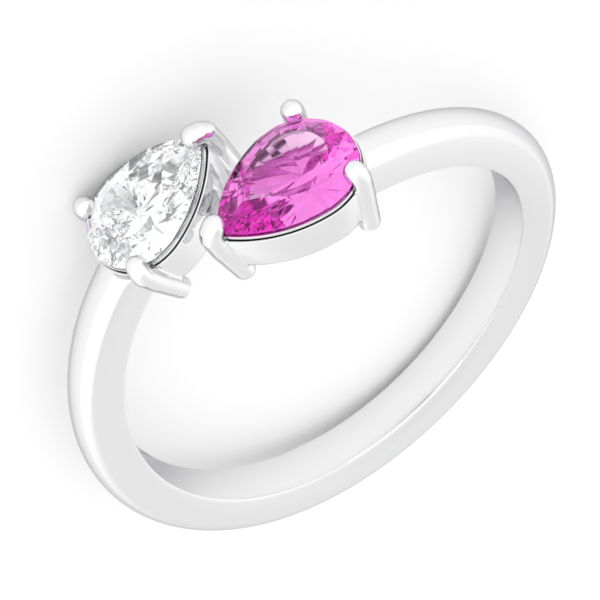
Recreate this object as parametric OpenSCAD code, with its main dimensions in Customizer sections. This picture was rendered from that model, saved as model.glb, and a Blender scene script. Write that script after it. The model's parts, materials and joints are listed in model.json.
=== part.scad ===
// Toi et moi ring: a bypass band with a colourless pear stone and a pink pear stone
// side by side, tip to tail. It lies on its side, head towards -Y, with the centre of
// the finger hole at the origin. Lengths are millimetres and angles are degrees.
// The pieces are built in the ring's own axes: X across the head towards the pink stone,
// Y along the finger, Z out through the head. lay_down() then turns them to the rest pose.

/* [Finger hole] */
// Radius of the finger hole
bore_r = 8.5; // [7:0.25:10.5]

/* [Band] */
// Width of the band at the finger
band_w = 1.78; // [1.4:0.02:2.4]
// Widest part of the band, at the back of the ring
belly_w = 2.35; // [2:0.05:3]
// Thickness of the band at the back of the ring
band_t = 2.1; // [1.6:0.05:2.6]
// Width of the crown of each arm at the head
shoulder_w = 1.6; // [1.2:0.05:2]
// Thickness of each arm at the head
shoulder_t = 1.65; // [1.45:0.05:2]
// Height of the flat sides, up to the crease
side_h = 1.27; // [1:0.05:1.4]
// How far each arm has moved off the middle where it meets the head
arm_shift = 1.68; // [1.2:0.05:2]
// How late the arms leave the middle: higher is later
arm_power = 1.57; // [1:0.05:2.5]
// Thickness of the strip that passes under both cups
bridge_t = 0.6; // [0.45:0.05:0.8]

/* [Stones] */
// Length of the pink stone
pink_l = 5.45; // [5:0.05:6.5]
// Width of the pink stone
pink_w = 3.98; // [3.5:0.02:4.5]
// Length of the colourless stone
clear_l = 5.3; // [5:0.05:6.5]
// Width of the colourless stone
clear_w = 3.85; // [3.5:0.02:4.5]
// Height of the crown above the girdle
crown_h = 0.56; // [0.4:0.02:0.8]
// Depth of the pavilion below the girdle
pavilion_h = 1.5; // [1.2:0.05:1.6]
// Thickness of the girdle
girdle_t = 0.08; // [0.04:0.01:0.16]
// Width of the table as a share of the stone's width
table_share = 0.6; // [0.5:0.01:0.7]

/* [Head] */
// Height of the girdles above the finger hole, at the round ends' centres
girdle_h = 2.15; // [2:0.05:2.6]
// Half the distance across the head between the round ends' centres
stone_x = 2.52; // [2.3:0.02:3]
// Half the distance along the finger between the round ends' centres
stone_y = 1.54; // [1.45:0.02:2]
// How far the whole head sits off the middle of the band
head_y = 0.23; // [0:0.01:0.3]
// How far each stone leans outwards
stone_tilt = 9.6; // [5:0.1:14]
// How far each stone's point turns towards its own side
stone_turn = 2.7; // [0:0.1:6]

/* [Cups] */
// Drop from the girdle to the rim of the cup
rim_drop = 0.3; // [0.2:0.02:0.4]
// How far the rim stands outside the girdle
rim_out = 0.13; // [0.05:0.01:0.2]
// Drop from the girdle to the top of the bevel that carries the stone
bevel_drop = 0.12; // [0.1:0.01:0.18]
// How far the top of the bevel stands outside the girdle
bevel_out = 0.05; // [0.04:0.01:0.08]
// Width of the flat rim outside the bevel
rim_land = 0.04; // [0.02:0.01:0.06]
// Height of the cup wall
cup_h = 1.66; // [1.4:0.02:1.8]
// How far the foot of the wall is drawn in
cup_draft = 0.16; // [0:0.02:0.3]
// Thickness of the cup wall
wall_t = 0.45; // [0.35:0.05:0.6]
// Gap between a stone and the metal it sits in
seat_gap = 0.04; // [0.03:0.01:0.06]

/* [Prongs] */
// Thickness of the round-end prongs
prong_d = 0.8; // [0.6:0.02:0.9]
// Thickness of the tip prongs
tip_prong_d = 0.82; // [0.6:0.02:0.9]
// Angle of the round-end prongs from the stone's long axis
prong_angle = 57.5; // [45:0.5:70]
// Distance outside the girdle of the axis of the prong on the head's outer side
outer_out = 0.12; // [0.08:0.01:0.3]
// Distance outside the girdle of the axis of the prong on the middle line's side
inner_out = 0.36; // [0.1:0.01:0.4]
// Distance outside the girdle of the tip prong's axis
tip_out = 0.22; // [0.1:0.01:0.3]
// Height of the claw's middle above the girdle
claw_rise = 0.3; // [0.1:0.02:0.4]
// How far the outer claw leans in over the stone
outer_lean = 0.1; // [0.05:0.01:0.25]
// How far the inner claw leans in over the stone
inner_lean = 0.2; // [0.05:0.01:0.25]
// Depth of the prong's foot below the girdle
prong_depth = 2.5; // [2.2:0.05:2.6]
// How far the foot of the outer prong leans in under the cup
outer_pull = 0.2; // [0:0.01:0.4]
// How far the foot of the inner prong leans in under the cup
inner_pull = 0.42; // [0:0.01:0.5]

/* [Smoothness] */
// Sections round the band
band_steps = 90; // [60:2:120]
// Points round a cup or a girdle, a multiple of 8
outline_steps = 48; // [32:16:64]
// Sides of a prong
prong_sides = 14; // [10:2:16]

/* [Hidden] */

function unit(v) = v / norm(v);
function mix(a, b, s) = a + (b - a) * s;
function clamp01(s) = min(1, max(0, s));
function ease(s) = let (t = clamp01(s)) t * t * (3 - 2 * t);

// The strip crosses over under the head between these two angles either side of the middle.
cross_angle = 20;
// The arms thin down to the strip inside the cups, over these degrees.
arm_end = 27;
arm_fade = 7;
// Nearness to the head: 1 in the middle of the head and 0 at the back of the ring.
function nearness(a) = (1 + cos(a)) / 2;
function side_of(a) = let (s = max(-1, min(1, a / cross_angle))) s * (3 - s * s) / 2;
function arm_y(a) = -arm_shift * pow(nearness(a), arm_power) * side_of(a);
function arm_w(a) = mix(belly_w, shoulder_w, ease(1.25 * nearness(a)));
function arm_t(a) = mix(band_t, shoulder_t, ease(nearness(a)));
// 0 on the arms and 1 on the strip under the cups
function thinned(a) = ease((arm_end - abs(a)) / arm_fade);

// Half section of the band as [out from the finger, half width], from the finger to the crest.
crown_steps = 5;
below = 0.4;
function half_section(a) =
    let (
        w = arm_w(a),
        t = arm_t(a),
        edge = mix(88, 66, nearness(a)),
        k = mix(1, bridge_t / t, thinned(a))
    )
    concat(
        [[-below, band_w / 2 - below * (w - band_w) / 2 / side_h]],
        [for (i = [0 : crown_steps])
            let (b = edge * (1 - i / crown_steps))
            [k * (side_h + (t - side_h) * (cos(b) - cos(edge)) / (1 - cos(edge))),
             w / 2 * sin(b) / sin(edge)]]
    );
function full_section(a) =
    let (h = half_section(a), n = len(h))
    concat(
        [for (i = [0 : n - 1]) [h[i][0], arm_y(a) + h[i][1]]],
        [for (i = [n - 2 : -1 : 0]) [h[i][0], arm_y(a) - h[i][1]]]
    );
function on_ring(a, p) = [(bore_r + p[0]) * sin(a), p[1], (bore_r + p[0]) * cos(a)];

// Faces of a closed loop of rings, each with n points
function loop_faces(rings, n) = [
    for (i = [0 : rings - 1], j = [0 : n - 1])
        let (a = i * n, b = ((i + 1) % rings) * n, k = (j + 1) % n)
        each [[a + j, a + k, b + k], [a + j, b + k, b + j]]
];
// Faces of an open run of rings, each with n points, with its two ends closed
function tube_faces(rings, n) = concat(
    [[for (j = [0 : n - 1]) j]],
    [for (i = [0 : rings - 2], j = [0 : n - 1])
        let (a = i * n, b = (i + 1) * n, k = (j + 1) % n)
        each [[a + j, b + k, a + k], [a + j, b + j, b + k]]],
    [[for (j = [n - 1 : -1 : 0]) (rings - 1) * n + j]]
);

module band_body() {
    n = len(full_section(180));
    polyhedron(
        points = [for (i = [0 : band_steps - 1])
            let (a = 180 - 360 * i / band_steps)
            for (p = full_section(a)) on_ring(a, p)],
        faces = loop_faces(band_steps, n)
    );
}

// Pear outline with its round end centred on the origin and its point towards +X.
// The sides are arcs that leave the round end side_angle degrees off straight.
side_angle = 8;
function pear_side(l, w, g) =
    let (
        r = w / 2 + g,
        tip = [l - w / 2 + g * tip_reach, 0],
        p = r * [sin(side_angle), cos(side_angle)],
        inward = [-sin(side_angle), -cos(side_angle)],
        d = tip - p,
        big = (d * d) / (2 * d * inward)
    )
    [r, tip, p, p + big * inward, big];
// A wall drawn at a distance round the stone reaches further at the point than at the sides.
tip_reach = 1.35;
function arc_angle(c, p) = atan2(p[1] - c[1], p[0] - c[0]);
// Point at share s of one half, from the point of the pear, s = 0, to its back, s = 1
side_share = 0.5;
function pear_half(l, w, g, s) =
    let (
        q = pear_side(l, w, g),
        a0 = arc_angle(q[3], q[1]),
        a1 = arc_angle(q[3], q[2]),
        round = mix(90 - side_angle, 180, (s - side_share) / (1 - side_share))
    )
    s <= side_share
        ? q[3] + q[4] * [cos(mix(a0, a1, s / side_share)), sin(mix(a0, a1, s / side_share))]
        : q[0] * [cos(round), sin(round)];
// Point at share s of the whole outline, from the tip, counterclockwise
function pear(l, w, g, s) =
    s <= 0.5 ? pear_half(l, w, g, 2 * s)
             : let (p = pear_half(l, w, g, 2 - 2 * s)) [p[0], -p[1]];
function pear_ring(l, w, g, z) = [
    for (i = [0 : outline_steps - 1])
        let (p = pear(l, w, g, i / outline_steps)) [p[0], p[1], z]
];

// A pear column between two heights with its own distance outside the girdle at each
module pear_column(l, w, z0, g0, z1, g1) {
    polyhedron(
        points = concat(pear_ring(l, w, g0, z0), pear_ring(l, w, g1, z1)),
        faces = tube_faces(2, outline_steps)
    );
}

cup_foot = -rim_drop - cup_h;
// Sinking the cutters past a face keeps every cut clean.
past = 0.2;
module cup_wall(l, w) {
    pear_column(l, w, cup_foot, rim_out - cup_draft, -rim_drop, rim_out);
    pear_column(l, w, -rim_drop - past / 2, rim_out - rim_land, -rim_drop, rim_out - rim_land);
    pear_column(l, w, -rim_drop, rim_out - rim_land, -bevel_drop, bevel_out);
}
module cup_hollow(l, w) {
    pear_column(l, w, cup_foot - past, rim_out - cup_draft - wall_t,
                -rim_drop + past, rim_out - wall_t);
}

// A faceted pear. Main facet k of 8 meets the girdle at share k / 8 of the outline.
// g moves every face outwards, to cut the seat.
mains = 8;
// Steps of the girdle from one main facet to the next
main_steps = outline_steps / mains;
star_height = 0.5;
star_reach = 0.56;
lower_height = 0.2;
lower_reach = 0.78;
function stone_points(l, w, g) =
    let (
        top = girdle_t / 2 + g,
        low = -girdle_t / 2 - g,
        crest = crown_h + g,
        deep = -pavilion_h - 1.4 * g,
        at = function (half) pear(l, w, g, half / (2 * mains))
    )
    concat(
        pear_ring(l, w, g, top),
        pear_ring(l, w, g, low),
        [for (k = [0 : mains - 1])
            let (p = table_share * at(2 * k)) [p[0], p[1], crest]],
        [for (k = [0 : mains - 1])
            let (p = mix(1, table_share, star_reach) * at(2 * k + 1))
            [p[0], p[1], mix(top, crest, star_height)]],
        [for (k = [0 : mains - 1])
            let (p = (1 - lower_reach) * at(2 * k + 1))
            [p[0], p[1], mix(deep, low, lower_height)]],
        [[0, 0, deep]]
    );
upper = 0;
lower = outline_steps;
table = 2 * outline_steps;
star = table + mains;
lowers = star + mains;
culet = lowers + mains;
function stone_faces() = concat(
    [[for (k = [mains - 1 : -1 : 0]) table + k]],
    [for (k = [0 : mains - 1])
        let (n = (k + 1) % mains, b = (k + mains - 1) % mains, g = k * main_steps)
        each concat(
            [
                [table + k, table + n, star + k],
                [table + k, upper + g, star + b],
                [table + k, star + k, upper + g],
                [culet, lower + g, lowers + k],
                [culet, lowers + b, lower + g]
            ],
            [for (i = [g : g + main_steps - 1])
                let (j = (i + 1) % outline_steps)
                each [
                    [star + k, upper + j, upper + i],
                    [upper + i, lower + j, lower + i],
                    [upper + i, upper + j, lower + j],
                    [lower + i, lower + j, lowers + k]
                ]]
        )]
);
module pear_stone(l, w, g = 0) {
    polyhedron(points = stone_points(l, w, g), faces = stone_faces());
}

// A prong in the plane of X, outwards, and Z, up, from its girdle point at the origin.
// Rows are [outwards, up, radius]; both ends close in a dome.
dome_steps = 3;
function turned(p, q) = unit([q[0] - p[0], q[1] - p[1]]);
function path_way(rows, i) =
    let (n = len(rows))
    unit((i > 0 ? turned(rows[i - 1], rows[i]) : [0, 0])
        + (i < n - 1 ? turned(rows[i], rows[i + 1]) : [0, 0]));
function prong_ring(c, way, r) = [
    for (j = [0 : prong_sides - 1])
        let (a = 360 * j / prong_sides)
        [c[0] + r * cos(a) * way[1], r * sin(a), c[1] - r * cos(a) * way[0]]
];
function dome(row, way, s) = [
    for (i = [1 : dome_steps])
        let (b = 90 * i / (dome_steps + 0.4), r = row[2])
        [[row[0], row[1]] + s * r * sin(b) * way, r * cos(b)]
];
module prong_body(rows) {
    n = len(rows);
    first = path_way(rows, 0);
    last = path_way(rows, n - 1);
    foot = dome(rows[0], first, -1);
    head = dome(rows[n - 1], last, 1);
    rings = concat(
        [for (i = [dome_steps - 1 : -1 : 0]) prong_ring(foot[i][0], first, foot[i][1])],
        [for (i = [0 : n - 1]) prong_ring(rows[i], path_way(rows, i), rows[i][2])],
        [for (d = head) prong_ring(d[0], last, d[1])]
    );
    polyhedron(
        points = [for (r = rings) each r],
        faces = tube_faces(len(rings), prong_sides)
    );
}
function prong_rows(d, out, rise, pull, lean) = [
    [out - pull, -prong_depth, d / 2],
    [out - 0.2 * pull, -0.3 * prong_depth, d / 2],
    [out, 0, d / 2],
    [out - lean / 3, rise / 2, d / 2],
    [out - lean, rise, d / 2 * 0.97]
];
// The tip prongs are a little taller. The pink stone's leans in further at the foot and
// the colourless stone's leans in further at the claw.
tip_rise = 1.2 * claw_rise;
tip_pull = [0.55, 0.38];
tip_lean = [0.22, 0.37];
module prongs(l, w, side) {
    rotate([0, 0, 180 - prong_angle])
        translate([w / 2, 0, 0])
            prong_body(prong_rows(prong_d, outer_out, claw_rise, outer_pull, outer_lean));
    rotate([0, 0, prong_angle - 180])
        translate([w / 2, 0, 0])
            prong_body(prong_rows(prong_d, inner_out, claw_rise, inner_pull, inner_lean));
    translate([l - w / 2, 0, 0])
        prong_body(prong_rows(tip_prong_d, tip_out, tip_rise, tip_pull[side], tip_lean[side]));
}

// Place of a stone's own axes in the ring: side 0 is the pink stone, side 1 the colourless one.
module at_stone(side) {
    rotate([0, 0, 180 * side])
        translate([stone_x, -stone_y - head_y * (1 - 2 * side), bore_r + girdle_h])
            rotate([0, stone_tilt, 0])
                rotate([0, 0, 180 + stone_turn])
                    children();
}
function stone_l(side) = side == 0 ? pink_l : clear_l;
function stone_w(side) = side == 0 ? pink_w : clear_w;

// The ring's side rests on the foot of the colourless stone's outer prong and on the
// crease of the band across from it, where it touches between these two angles.
rest_a = 156;
rest_b = 160;
function crease_point(a) = on_ring(a, [side_h, arm_y(a) + arm_w(a) / 2]);
function spin_z(p, a) = [p[0] * cos(a) - p[1] * sin(a), p[0] * sin(a) + p[1] * cos(a), p[2]];
function spin_y(p, a) = [p[0] * cos(a) + p[2] * sin(a), p[1], p[2] * cos(a) - p[0] * sin(a)];
function from_stone(p, side) =
    spin_z(spin_y(spin_z(p, 180 + stone_turn), stone_tilt)
        + [stone_x, -stone_y - head_y * (1 - 2 * side), bore_r + girdle_h], 180 * side);
far_foot = from_stone(
    let (r = clear_w / 2 + outer_out - outer_pull)
    [r * cos(180 - prong_angle), r * sin(180 - prong_angle), -prong_depth], 1)
    + [0, prong_d / 2, 0];
rest_normal = unit(cross(crease_point(rest_a) - far_foot, crease_point(rest_b) - far_foot));
rest_side = rest_normal[1] < 0 ? -rest_normal : rest_normal;
rest_lean = acos(rest_side[1]);
rest_hinge = cross(rest_side, [0, 1, 0]);
module lay_down() {
    rotate([0, 180, 0])
        rotate([90, 0, 0])
            rotate(a = rest_lean, v = rest_hinge)
                children();
}

module metal() {
    band_body();
    for (side = [0, 1])
        at_stone(side) {
            cup_wall(stone_l(side), stone_w(side));
            prongs(stone_l(side), stone_w(side), side);
        }
}
module ring_mount() {
    color("gainsboro")
        lay_down()
            difference() {
                metal();
                for (side = [0, 1])
                    at_stone(side) {
                        cup_hollow(stone_l(side), stone_w(side));
                        pear_stone(stone_l(side), stone_w(side), seat_gap);
                    }
                rotate([90, 0, 0])
                    cylinder(r = bore_r, h = 4 * bore_r, center = true, $fn = 180);
            }
}
module diamond() {
    color("aliceblue") lay_down() at_stone(1) pear_stone(clear_l, clear_w);
}
module pink_sapphire() {
    color("orchid") lay_down() at_stone(0) pear_stone(pink_l, pink_w);
}

ring_mount();
diamond();
pink_sapphire();
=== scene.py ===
import json
import math

import bmesh
import bpy
from mathutils import Matrix, Vector


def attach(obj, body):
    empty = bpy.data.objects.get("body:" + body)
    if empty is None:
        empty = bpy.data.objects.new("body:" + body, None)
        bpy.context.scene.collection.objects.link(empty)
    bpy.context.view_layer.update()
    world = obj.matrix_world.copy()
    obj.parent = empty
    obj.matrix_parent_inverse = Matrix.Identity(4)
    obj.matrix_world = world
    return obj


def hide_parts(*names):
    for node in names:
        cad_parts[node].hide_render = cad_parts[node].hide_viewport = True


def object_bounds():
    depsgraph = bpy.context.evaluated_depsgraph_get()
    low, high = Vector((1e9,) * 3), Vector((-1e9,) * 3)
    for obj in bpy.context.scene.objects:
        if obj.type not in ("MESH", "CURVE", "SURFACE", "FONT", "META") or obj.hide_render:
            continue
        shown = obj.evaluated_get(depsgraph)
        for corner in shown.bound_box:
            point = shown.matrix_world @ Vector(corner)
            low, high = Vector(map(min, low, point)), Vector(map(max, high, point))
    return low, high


# Toi et moi ring: a polished bypass band that carries a colourless pear stone and a pink one,
# side by side and tip to tail. Each piece is modelled in millimetres in the ring's own axes:
# X across the head towards the pink stone, Y along the finger and Z out through the head.
# Then lay_down turns it onto its side, as it rests, and scales it to metres.

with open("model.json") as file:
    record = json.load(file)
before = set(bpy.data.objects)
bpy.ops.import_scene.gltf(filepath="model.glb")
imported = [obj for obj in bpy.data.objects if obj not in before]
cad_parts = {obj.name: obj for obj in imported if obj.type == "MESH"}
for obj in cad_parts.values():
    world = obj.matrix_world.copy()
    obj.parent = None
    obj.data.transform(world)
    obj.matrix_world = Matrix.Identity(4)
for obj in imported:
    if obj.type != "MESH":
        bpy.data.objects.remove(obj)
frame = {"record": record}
cad_box = [list(corner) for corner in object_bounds()]

# Frame of the ring
finger_hole = next(m for m in frame["record"]["mounts"] if m["name"] == "finger_hole")
BORE_R = finger_hole["dims"]["r_mm"]
MILLIMETRE = 0.001
SIDE_UP = Matrix(((-1, 0, 0), (0, 0, -1), (0, -1, 0)))
FINGER = Vector((0, 1, 0))
leaning = SIDE_UP.inverted() @ -Vector(finger_hole["axis"])
floor_side = 2 * leaning.dot(FINGER) * FINGER - leaning
turn = SIDE_UP @ floor_side.rotation_difference(FINGER).to_matrix()
lay_down = turn.to_4x4() @ Matrix.Scale(MILLIMETRE, 4)

# Band
BAND_W = 1.78
BELLY_W = 2.35
BAND_T = 2.1
SHOULDER_W = 1.6
SHOULDER_T = 1.65
SIDE_H = 1.27
ARM_SHIFT = 1.68
ARM_POWER = 1.57
CROSS_ANGLE = 20
BRIDGE_T = 0.6
ARM_END = 27
ARM_FADE = 7
SIDE_BULGE = 0.04
BORE_EDGE = 0.07
CREASE_EDGE = 0.05
CROWN_POINTS = 13
STATIONS = 288
SHOULDER_SPREAD = 1.25
CROWN_EDGE = [88, 66]
BULGE_SHARES = [0.15, 0.3, 0.5, 0.7, 0.85]

# Stones
PINK = {"side": 0, "l": 5.45, "w": 3.98}
CLEAR = {"side": 1, "l": 5.3, "w": 3.85}
CROWN_H = 0.56
PAVILION_H = 1.5
GIRDLE_T = 0.08
TABLE_SHARE = 0.6
STAR_REACH = 0.56
STAR_HEIGHT = 0.5
LOWER_REACH = 0.78
LOWER_HEIGHT = 0.2
MAINS = 8
SIDE_ANGLE = 8
TIP_REACH = 1.35

# Head
GIRDLE_H = 2.15
STONE_X = 2.52
STONE_Y = 1.54
HEAD_Y = 0.23
STONE_TILT = 9.6
STONE_TURN = 2.7

# Cups and prongs
RIM_DROP = 0.3
RIM_OUT = 0.13
BEVEL_DROP = 0.12
BEVEL_OUT = 0.05
RIM_LAND = 0.075
RIM_H = 0.25
LIP = 0.015
GROOVE_W = 0.04
GROOVE_D = 0.08
GROOVE_PAST = 0.1
HOLLOW_PAST = 0.2
CUP_H = 1.66
CUP_DRAFT = 0.16
WALL_T = 0.45
WALL_BULGE = 0.04
SEAT_GAP = 0.04
PRONG_D = 0.8
TIP_PRONG_D = 0.82
PRONG_ANGLE = 57.5
OUTER = {"out": 0.12, "pull": 0.2, "lean": 0.1}
INNER = {"out": 0.36, "pull": 0.42, "lean": 0.2}
TIP_OUT = 0.22
TIP_PULL = [0.55, 0.38]
TIP_LEAN = [0.22, 0.37]
CLAW_RISE = 0.3
TIP_RISE = 1.2 * CLAW_RISE
CLAW_SHARE = 0.97
BEND_DEPTH = 0.3
BEND_PULL = 0.2
DOME = [10, 25, 42, 60, 75, 86]
PRONG_DEPTH = 2.5
OUTLINE_POINTS = 96
PRONG_SIDES = 32
HEAD_VOXEL = 0.06
HEAD_SMOOTHING = 6

# Mesh: points nearer than these are one, in pieces and in the fused mount, and the mount's sharp edges
NEAR = 0.0005
SPIN_NEAR = 0.001
MOUNT_NEAR = 0.002
FACET_NEAR = 0.00001
BORE_SINK = 0.001
SHARP_ANGLE = 40

# Camera, in the ring's own axes: its place round the ring, then its shift and distance
VIEW_TURN = -1.2
VIEW_RISE = 56.61
VIEW_ROLL = -40.45
VIEW_ACROSS = 0.905
VIEW_UP = -0.732
VIEW_DISTANCE = 73.01
LENS_MM = 116.45

# Light: each patch of the tent has its turn from +Y, its height, its inner and outer angle and its shade
BOUNCES = 40
TENT_LIGHT = 1.2
TENT_PATCHES = [(14, 36, 8, 45, 0.79), (-6, 72, 4, 28, 0.88)]

# Surfaces: the reach of the painted shade and depths in metres, and how fine each unevenness is
PAINTED_SHADE_REACH = 0.00014
POLISH_SCALE = 900
GRAIN_SCALE = 2500
GRAIN_DEPTH = 0.0000003
FIRE_SCALE = 1500
ZONE_SCALE = 600
PINK_DENSITY = 265


def mix(a, b, share):
    return a + (b - a) * share


def ease(share):
    share = min(1, max(0, share))
    return share * share * (3 - 2 * share)


def cosd(angle):
    return math.cos(math.radians(angle))


def sind(angle):
    return math.sin(math.radians(angle))


# Making and finishing pieces
def add(primitive, **settings):
    """Adds a primitive with nothing else selected and returns it."""
    bpy.ops.object.select_all(action="DESELECT")
    primitive(**settings)
    return bpy.context.object


def work_on(piece):
    bpy.ops.object.select_all(action="DESELECT")
    piece.select_set(True)
    bpy.context.view_layer.objects.active = piece


def edit(piece, select=True):
    work_on(piece)
    bpy.ops.object.mode_set(mode="EDIT")
    bpy.ops.mesh.select_all(action="SELECT" if select else "DESELECT")


def leave_edit():
    bpy.ops.object.mode_set(mode="OBJECT")


def outward(piece, near=NEAR):
    """Merges points this near to each other, drops the slivers left and turns the faces outwards."""
    edit(piece)
    bpy.ops.mesh.remove_doubles(threshold=near)
    bpy.ops.mesh.dissolve_degenerate(threshold=near / 5)
    bpy.ops.mesh.normals_make_consistent(inside=False)
    leave_edit()


def keep_largest(piece):
    """Splits the faces into triangles and keeps the largest body; a cut leaves thin slivers, which
    hang on it by an edge that more than two faces share."""
    edit(piece)
    bpy.ops.mesh.quads_convert_to_tris()
    mesh = bmesh.from_edit_mesh(piece.data)
    left, bodies = set(mesh.faces), []
    while left:
        reached = {left.pop()}
        body = set(reached)
        while reached:
            edges = {edge for face in reached for edge in face.edges if len(edge.link_faces) == 2}
            reached = {face for edge in edges for face in edge.link_faces} - body
            body |= reached
        left -= body
        bodies.append(body)
    bodies.sort(key=len)
    bmesh.ops.delete(mesh, geom=[face for body in bodies[:-1] for face in body], context="FACES")
    bmesh.update_edit_mesh(piece.data)
    leave_edit()


def modify(piece, kind, **settings):
    """Adds a modifier with these settings and applies it."""
    work_on(piece)
    modifier = piece.modifiers.new(kind.title(), kind)
    for key, value in settings.items():
        setattr(modifier, key, value)
    bpy.ops.object.modifier_apply(modifier=modifier.name)


def combine(piece, other, operation):
    """Joins another solid to a piece, or cuts it away, and removes the other."""
    modify(piece, "BOOLEAN", object=other, operation=operation, solver="MANIFOLD")
    bpy.data.objects.remove(other)


def loft(name, rings):
    """A closed solid through rings of points: a circle primitive is drawn to the first ring, then
    extruded on to each next."""
    piece = add(bpy.ops.mesh.primitive_circle_add, vertices=len(rings[0]), fill_type="NGON")
    piece.name = name
    edit(piece)
    mesh = bmesh.from_edit_mesh(piece.data)
    ends = list(mesh.verts)
    for vertex, point in zip(ends, rings[0]):
        vertex.co = point
    before = rings[0]
    for ring in rings[1:]:
        bpy.ops.mesh.extrude_region_move()
        mesh = bmesh.from_edit_mesh(piece.data)
        for vertex in [v for v in mesh.verts if v.select]:
            nearest = min(range(len(before)), key=lambda i: (vertex.co - before[i]).length_squared)
            vertex.co = ring[nearest]
        before = ring
    bmesh.update_edit_mesh(piece.data)
    leave_edit()
    outward(piece)
    return piece


# Pear outline, its round end centred on the origin and its point towards +X
def pear(stone, out, share):
    """Point at a share of the outline from its tip, counterclockwise, some way outside the girdle."""
    half = 2 * share if share <= 0.5 else 2 - 2 * share
    r = stone["w"] / 2 + out
    tip = Vector((stone["l"] - stone["w"] / 2 + out * TIP_REACH, 0))
    start = r * Vector((sind(SIDE_ANGLE), cosd(SIDE_ANGLE)))
    inward = -start / r
    reach = tip - start
    big = reach.dot(reach) / (2 * reach.dot(inward))
    centre = start + big * inward
    if half <= 0.5:
        a, b = (math.atan2(p.y - centre.y, p.x - centre.x) for p in (tip, start))
        angle = mix(a, b, half / 0.5)
        point = centre + big * Vector((math.cos(angle), math.sin(angle)))
    else:
        angle = mix(90 - SIDE_ANGLE, 180, (half - 0.5) / 0.5)
        point = r * Vector((cosd(angle), sind(angle)))
    return point if share <= 0.5 else Vector((point.x, -point.y))


def pear_ring(stone, out, height):
    points = (pear(stone, out, i / OUTLINE_POINTS) for i in range(OUTLINE_POINTS))
    return [Vector((p.x, p.y, height)) for p in points]


def seat(stone):
    """Place of a stone's own axes in the ring's axes."""
    sign = 1 - 2 * stone["side"]
    return (Matrix.Rotation(math.radians(180 * stone["side"]), 4, "Z")
            @ Matrix.Translation((STONE_X, -STONE_Y - HEAD_Y * sign, BORE_R + GIRDLE_H))
            @ Matrix.Rotation(math.radians(STONE_TILT), 4, "Y")
            @ Matrix.Rotation(math.radians(180 + STONE_TURN), 4, "Z"))


# Band
def nearness(a):
    return (1 + cosd(a)) / 2


def arm_y(a):
    side = min(1, max(-1, a / CROSS_ANGLE))
    return -ARM_SHIFT * nearness(a) ** ARM_POWER * side * (3 - side * side) / 2


def corner(before, at, after, size):
    """A corner of an outline rounded by two extra points."""
    near = at + (before - at).normalized() * size
    far = at + (after - at).normalized() * size
    middle = (near + far + 2 * at) / 4
    return [near, middle, far]


def section(a):
    """Outline of the band at an angle from the head, as [out from the finger, along the finger]."""
    width = mix(BELLY_W, SHOULDER_W, ease(SHOULDER_SPREAD * nearness(a)))
    thick = mix(BAND_T, SHOULDER_T, ease(nearness(a)))
    thin = mix(1, BRIDGE_T / thick, ease((ARM_END - abs(a)) / ARM_FADE))
    edge = mix(*CROWN_EDGE, nearness(a))
    crown = []
    for i in range(CROWN_POINTS):
        b = edge * (1 - i / (CROWN_POINTS - 1))
        rise = (cosd(b) - cosd(edge)) / (1 - cosd(edge))
        out = thin * (SIDE_H + (thick - SIDE_H) * rise)
        crown.append(Vector((out, width / 2 * sind(b) / sind(edge))))
    foot = Vector((0, BAND_W / 2))
    along = (crown[0] - foot).normalized()
    bulged = [foot.lerp(crown[0], s) + Vector((-along.y, along.x)) * SIDE_BULGE * thin * sind(180 * s)
              for s in BULGE_SHARES]
    half = (corner(Vector((0, 0)), foot, bulged[0], BORE_EDGE) + bulged
            + corner(bulged[-1], crown[0], crown[1], CREASE_EDGE) + crown[1:])
    other = [Vector((p.x, -p.y)) for p in reversed(half[:-1])]
    return [Vector((p.x, p.y + arm_y(a))) for p in half + other]


def make_band():
    """The shank: a circle spun round the finger, its points then drawn to the section of each station."""
    count = len(section(0))
    wire_r = BAND_T / 2
    piece = add(bpy.ops.mesh.primitive_circle_add, vertices=count, radius=wire_r,
                location=(0, 0, BORE_R + wire_r), rotation=(0, math.radians(90), 0))
    piece.name = "band"
    bpy.ops.object.transform_apply(location=True, rotation=True, scale=True)
    edit(piece)
    bpy.ops.mesh.spin(steps=STATIONS, angle=math.radians(360), use_auto_merge=True,
                      center=(0, 0, 0), axis=(0, 1, 0))
    bpy.ops.mesh.select_all(action="SELECT")
    bpy.ops.mesh.remove_doubles(threshold=SPIN_NEAR)
    leave_edit()
    for vertex in piece.data.vertices:
        x, y, z = vertex.co
        a = math.degrees(math.atan2(x, z))
        round_wire = math.atan2(y, BORE_R + wire_r - math.hypot(x, z))
        place = section(a)[round(round_wire / math.tau * count) % count]
        r = BORE_R + place.x
        vertex.co = (r * sind(a), place.y, r * cosd(a))
    outward(piece)
    return piece


# Head
def hollowed(stone, wall):
    """Cuts the open inside of a cup out of a solid."""
    low, high = -RIM_DROP - CUP_H - HOLLOW_PAST, -RIM_DROP + HOLLOW_PAST
    hollow = loft("hollow", [pear_ring(stone, RIM_OUT - CUP_DRAFT - WALL_T, low),
                             pear_ring(stone, RIM_OUT - WALL_T, high)])
    combine(wall, hollow, "DIFFERENCE")
    return wall


def cup(stone):
    """An open pear cup: its wall bulges a little between the rim and the foot."""
    heights = (0, 0.25, 0.5, 0.75, 1)
    outer = [pear_ring(stone, mix(RIM_OUT - CUP_DRAFT, RIM_OUT, s) + WALL_BULGE * sind(180 * s),
                       -RIM_DROP - CUP_H * (1 - s)) for s in heights]
    return hollowed(stone, loft("cup", outer))


def rim(stone):
    """The rim with its crisp outer edge, and inside it the bevel that rises to the girdle and
    carries the stone."""
    profile = [(RIM_OUT + LIP, -RIM_DROP - RIM_H), (RIM_OUT + LIP, -RIM_DROP - LIP), (RIM_OUT, -RIM_DROP),
               (RIM_OUT - RIM_LAND, -RIM_DROP), (BEVEL_OUT, -BEVEL_DROP)]
    return hollowed(stone, loft("rim", [pear_ring(stone, out, height) for out, height in profile]))


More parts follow.
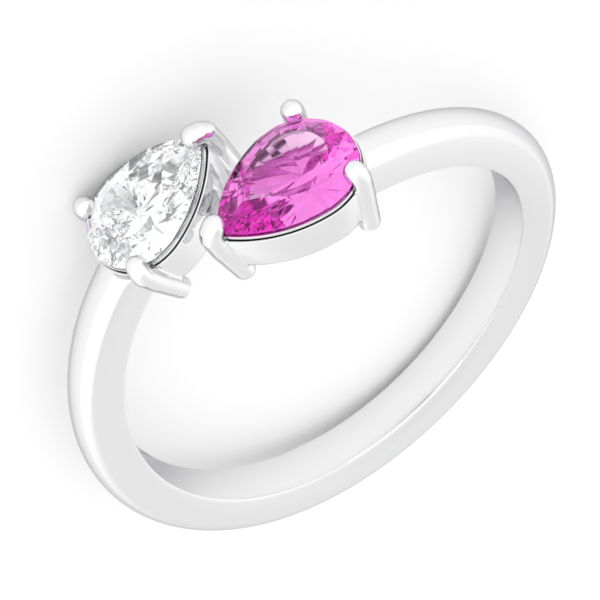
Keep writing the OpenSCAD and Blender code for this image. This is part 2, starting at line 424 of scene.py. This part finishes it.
def groove(stone):
    """Cutter of the fine groove between the rim's outer edge and the bevel; it stops at the prongs."""
    low, high = -RIM_DROP - GROOVE_D, -RIM_DROP + GROOVE_PAST
    inner = RIM_OUT - RIM_LAND
    cutter, core = (loft("groove", [pear_ring(stone, out, low - past), pear_ring(stone, out, high + past)])
                    for out, past in ((inner + GROOVE_W, 0), (inner, GROOVE_PAST)))
    combine(cutter, core, "DIFFERENCE")
    for piece in prongs(stone):
        combine(cutter, piece, "DIFFERENCE")
    return cutter


def wire(name, rows):
    """A round wire in the plane of X and Z through rows of [out, up, radius], with domed ends."""
    rows = [Vector(row) for row in rows]
    ways = []
    for i in range(len(rows)):
        before, after = rows[max(i - 1, 0)], rows[min(i + 1, len(rows) - 1)]
        ways.append(Vector((after.x - before.x, after.y - before.y)).normalized())
    stations = []
    for angle in reversed(DOME):
        row, way = rows[0], ways[0]
        stations.append((row.x - way.x * row.z * sind(angle), row.y - way.y * row.z * sind(angle),
                         row.z * cosd(angle), way))
    stations += [(row.x, row.y, row.z, way) for row, way in zip(rows, ways)]
    for angle in DOME:
        row, way = rows[-1], ways[-1]
        stations.append((row.x + way.x * row.z * sind(angle), row.y + way.y * row.z * sind(angle),
                         row.z * cosd(angle), way))
    rings = []
    for out, up, r, way in stations:
        turns = (360 * i / PRONG_SIDES for i in range(PRONG_SIDES))
        rings.append([Vector((out + r * cosd(t) * way.y, r * sind(t), up - r * cosd(t) * way.x))
                      for t in turns])
    return loft(name, rings)


def prong(angle, reach, thick, out, pull, lean, rise=CLAW_RISE):
    """A prong that stands at an angle from the stone's long axis, its claw bent in over the girdle."""
    r = thick / 2
    rows = [(out - pull, -PRONG_DEPTH, r), (out - BEND_PULL * pull, -BEND_DEPTH * PRONG_DEPTH, r),
            (out, 0, r), (out - lean / 3, rise / 2, r), (out - lean, rise, CLAW_SHARE * r)]
    piece = wire("prong", rows)
    stand = Matrix.Rotation(math.radians(angle), 4, "Z") @ Matrix.Translation((reach, 0, 0))
    piece.data.transform(stand)
    return piece


def prongs(stone):
    side, back, tip = stone["side"], stone["w"] / 2, stone["l"] - stone["w"] / 2
    return [prong(180 - PRONG_ANGLE, back, PRONG_D, **OUTER),
            prong(PRONG_ANGLE - 180, back, PRONG_D, **INNER),
            prong(0, tip, TIP_PRONG_D, TIP_OUT, TIP_PULL[side], TIP_LEAN[side], TIP_RISE)]


def make_head():
    """Two cups with three prongs each, fused and smoothed so that every joint has its small fillet."""
    pieces = []
    for stone in (PINK, CLEAR):
        parts = [cup(stone), *prongs(stone)]
        for part in parts:
            part.data.transform(seat(stone))
        pieces += parts
    head = pieces[0]
    for piece in pieces:
        piece.select_set(True)
    bpy.context.view_layer.objects.active = head
    bpy.ops.object.join()
    modify(head, "REMESH", mode="VOXEL", voxel_size=HEAD_VOXEL, use_smooth_shade=True)
    modify(head, "SMOOTH", factor=0.5, iterations=HEAD_SMOOTHING)
    return head


def make_mount():
    """The whole mount: band and head as one solid, cut by the finger hole and by the stones' seats."""
    mount = make_band()
    combine(mount, make_head(), "UNION")
    for stone in (PINK, CLEAR):
        for piece, operation in ((rim(stone), "UNION"), (groove(stone), "DIFFERENCE")):
            piece.data.transform(seat(stone))
            combine(mount, piece, operation)
        combine(mount, make_stone("seat", stone, SEAT_GAP), "DIFFERENCE")
    finger = add(bpy.ops.mesh.primitive_cylinder_add, vertices=STATIONS, radius=BORE_R - BORE_SINK,
                 depth=4 * BORE_R, rotation=(math.radians(90), 0, 0))
    combine(mount, finger, "DIFFERENCE")
    outward(mount, MOUNT_NEAR)
    keep_largest(mount)
    mount.name = "ring_mount_polished"
    work_on(mount)
    bpy.ops.object.shade_smooth_by_angle(angle=math.radians(SHARP_ANGLE))
    return mount


# Stones
def make_stone(name, stone, gap=0):
    """A pear brilliant, cut facet by facet from a pear column: table, mains, stars and halves.

    With a gap it is that much larger all round, to cut its seat."""
    top, low = GIRDLE_T / 2, -GIRDLE_T / 2
    piece = loft(name, [pear_ring(stone, gap, -PAVILION_H - 2 * gap),
                        pear_ring(stone, gap, CROWN_H + gap)])
    culet = Vector((0, 0, -PAVILION_H))

    def cut(piece, point, a, b):
        """One facet: the plane through a point along two directions; what lies outside is ground away."""
        normal = a.cross(b).normalized()
        if normal.dot(point) < 0:
            normal = -normal
        edit(piece)
        bpy.ops.mesh.bisect(plane_co=point + gap * normal, plane_no=normal, use_fill=True,
                            clear_outer=True, threshold=FACET_NEAR)
        leave_edit()

    def at(share, scale=1, height=0):
        p = pear(stone, 0, share % 1) * scale
        return Vector((p.x, p.y, height))

    def along(share):
        step = 0.001
        return at(share + step) - at(share - step) if share % 1 else Vector((0, 1, 0))

    for k in range(MAINS):
        share, half, step = k / MAINS, (k + 0.5) / MAINS, 0.5 / MAINS
        girdle, table = at(share, 1, top), at(share, TABLE_SHARE, CROWN_H)
        star = at(half, mix(1, TABLE_SHARE, STAR_REACH), mix(top, CROWN_H, STAR_HEIGHT))
        lower = at(half, 1 - LOWER_REACH, mix(-PAVILION_H, low, LOWER_HEIGHT))
        cut(piece, girdle, along(share), table - girdle)
        cut(piece, at(share, 1, low), along(share), culet - at(share, 1, low))
        cut(piece, star, table - star, at((k + 1) / MAINS, TABLE_SHARE, CROWN_H) - star)
        for end in (share, share + 2 * step):
            cut(piece, at(half, 1, top), at(end, 1, top) - at(half, 1, top), star - at(half, 1, top))
            cut(piece, at(half, 1, low), at(end, 1, low) - at(half, 1, low), lower - at(half, 1, low))
    outward(piece)
    piece.data.transform(seat(stone))
    return piece


# Materials
def material(name, **inputs):
    made = bpy.data.materials.new(name)
    made.use_nodes = True
    shader = made.node_tree.nodes["Principled BSDF"]
    for key, value in inputs.items():
        shader.inputs[key.replace("_", " ")].default_value = value
    return made


def ramp(tree, source, stops, smooth="LINEAR"):
    """Colours along a value: each stop is its place and its colour."""
    node = tree.nodes.new("ShaderNodeValToRGB")
    node.color_ramp.interpolation = smooth
    elements = node.color_ramp.elements
    while len(elements) < len(stops):
        elements.new(0.5)
    for element, (place, colour) in zip(elements, stops):
        element.position = place
        element.color = (*colour, 1)
    tree.links.new(source, node.inputs["Fac"])
    return node.outputs["Color"]


def noise(tree, scale, depth=2):
    """Noise that sticks to the piece."""
    where = tree.nodes.new("ShaderNodeTexCoord")
    node = tree.nodes.new("ShaderNodeTexNoise")
    node.inputs["Scale"].default_value = scale
    node.inputs["Detail"].default_value = depth
    tree.links.new(where.outputs["Object"], node.inputs["Vector"])
    return node.outputs["Fac"]


def vary(made, socket, scale, stops):
    """Lets a socket of the shader wander between colours over the piece."""
    tree = made.node_tree
    tree.links.new(ramp(tree, noise(tree, scale), stops), tree.nodes["Principled BSDF"].inputs[socket])


def grain(made, scale, depth):
    """A fine unevenness of the surface, of a depth in metres."""
    tree = made.node_tree
    bump = tree.nodes.new("ShaderNodeBump")
    bump.inputs["Strength"].default_value = 1
    bump.inputs["Distance"].default_value = depth
    tree.links.new(noise(tree, scale), bump.inputs["Height"])
    tree.links.new(bump.outputs["Normal"], tree.nodes["Principled BSDF"].inputs["Normal"])


def grey(value):
    return (value, value, value)


def patch(tree, where, way, inner, outer, shade):
    """A grey patch round a direction: full within the inner angle from it and gone at the outer one."""
    dot = tree.nodes.new("ShaderNodeVectorMath")
    dot.operation = "DOT_PRODUCT"
    dot.inputs[1].default_value = way
    tree.links.new(where, dot.inputs[0])
    return ramp(tree, dot.outputs["Value"], [(cosd(outer), grey(1)), (cosd(inner), grey(shade))], "EASE")


def paint_shade_by_occlusion(made, reach, stops):
    """Paints shade into the base colour from how open the surface is within a reach: darker where it is
    shut in, in grooves, joints and under claws; the stops run from shut to open.
    """
    tree = made.node_tree
    # Painted shade: the ambient occlusion drives the base colour, so shut-in places are painted darker
    node = tree.nodes.new("ShaderNodeAmbientOcclusion")
    node.inputs["Distance"].default_value = reach
    colour = ramp(tree, node.outputs["AO"], stops)
    tree.links.new(colour, tree.nodes["Principled BSDF"].inputs["Base Color"])


def absorb(made, colour, density):
    """Deepens the colour of a clear material with the length of the light's way through it."""
    tree = made.node_tree
    node = tree.nodes.new("ShaderNodeVolumeAbsorption")
    node.inputs["Color"].default_value = (*colour, 1)
    node.inputs["Density"].default_value = density
    tree.links.new(node.outputs["Volume"], tree.nodes["Material Output"].inputs["Volume"])


def finish_piece(piece, finish, node):
    """Lays a piece down in its place, gives it its finish and lets it stand for a CAD node."""
    piece.data.transform(lay_down)
    piece.data.materials.clear()
    piece.data.materials.append(finish)
    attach(piece, "root")
    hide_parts(node)


# Polished white gold: its polish wanders a little, with a faint waviness and greyer edges, and with
# painted shade:
# dark lines painted into the base colour in the narrow grooves, the joints and under the claws
white_gold = material("polished_white_gold", Metallic=1, Specular_Tint=(0.62, 0.62, 0.63, 1))
# Painted shade: the base colour darkens from 0.84 grey towards near black where the surface is shut in, in
# the grooves, the joints and under the claws
paint_shade_by_occlusion(white_gold, PAINTED_SHADE_REACH, [(0, grey(0.1)), (0.35, grey(0.4)), (0.65, (0.84, 0.84, 0.845))])
vary(white_gold, "Roughness", POLISH_SCALE, [(0.3, grey(0.05)), (0.7, grey(0.11))])
grain(white_gold, GRAIN_SCALE, GRAIN_DEPTH)

# Diamond: clear, with faint blue and green flashes in place of its fire
diamond_clear = material("clear_diamond", Transmission_Weight=1, IOR=2.42, Roughness=0)
vary(diamond_clear, "Base Color", FIRE_SCALE, [(0.35, (0.9, 0.96, 1)), (0.45, grey(1)),
                                               (0.55, grey(1)), (0.65, (0.93, 1, 0.98))])

# Pink sapphire: a clear magenta, deeper where the light goes a longer way, with soft zones
pink_clear = material("clear_pink_sapphire", Transmission_Weight=1, IOR=1.77, Roughness=0,
                      Specular_Tint=(0.95, 0.3, 0.8, 1))
vary(pink_clear, "Base Color", ZONE_SCALE, [(0.35, (0.94, 0.6, 0.85)), (0.65, (1, 0.9, 0.98))])
absorb(pink_clear, (0.93, 0, 0.82), PINK_DENSITY)

finish_piece(make_mount(), white_gold, "ring_mount")
finish_piece(make_stone("diamond_cut", CLEAR), diamond_clear, "diamond")
finish_piece(make_stone("pink_sapphire_cut", PINK), pink_clear, "pink_sapphire")


# Stage
def make_floor():
    floor = add(bpy.ops.mesh.primitive_plane_add, size=2, location=(0, 0, cad_box[0][2]))
    floor.name = "floor"
    floor.data.materials.append(material("pale_floor", Base_Color=(0.97, 0.97, 0.97, 1), Roughness=0.9))


def make_light():
    """A white tent of light, a little greyer beyond the ring and overhead."""
    world = bpy.data.worlds.new("tent")
    world.use_nodes = True
    tree = world.node_tree
    background = tree.nodes["Background"]
    where = tree.nodes.new("ShaderNodeTexCoord").outputs["Generated"]
    greyer = []
    for turned, risen, inner, outer, shade in TENT_PATCHES:
        way = (sind(turned) * cosd(risen), cosd(turned) * cosd(risen), sind(risen))
        greyer.append(patch(tree, where, way, inner, outer, shade))
    both = tree.nodes.new("ShaderNodeMix")
    both.data_type = "RGBA"
    both.blend_type = "MULTIPLY"
    both.inputs["Factor"].default_value = 1
    for colour, socket in zip(greyer, "AB"):
        tree.links.new(colour, both.inputs[socket])
    tree.links.new(both.outputs["Result"], background.inputs["Color"])
    background.inputs["Strength"].default_value = TENT_LIGHT
    scene = bpy.context.scene
    scene.world = world
    scene.view_settings.view_transform = "Standard"
    scene.cycles.max_bounces = BOUNCES
    scene.cycles.transmission_bounces = BOUNCES
    scene.cycles.glossy_bounces = BOUNCES


def make_camera():
    a, e, roll = math.radians(VIEW_TURN), math.radians(VIEW_RISE), math.radians(VIEW_ROLL)
    back = Vector((math.sin(a) * math.cos(e), -math.cos(a) * math.cos(e), math.sin(e)))
    level = Vector((math.cos(a), math.sin(a), 0))
    rise = back.cross(level)
    right = math.cos(roll) * level + math.sin(roll) * rise
    up = -math.sin(roll) * level + math.cos(roll) * rise
    place = VIEW_DISTANCE * back - VIEW_ACROSS * right - VIEW_UP * up
    camera = bpy.data.objects.new("camera", bpy.data.cameras.new("camera"))
    bpy.context.scene.collection.objects.link(camera)
    axes = turn @ Matrix((right, up, back)).transposed()
    camera.matrix_world = Matrix.Translation(lay_down @ place) @ axes.to_4x4()
    camera.data.lens = LENS_MM
    camera.data.sensor_width = 36
    camera.data.clip_start = 0.001
    bpy.context.scene.camera = camera


make_floor()
make_light()
make_camera()
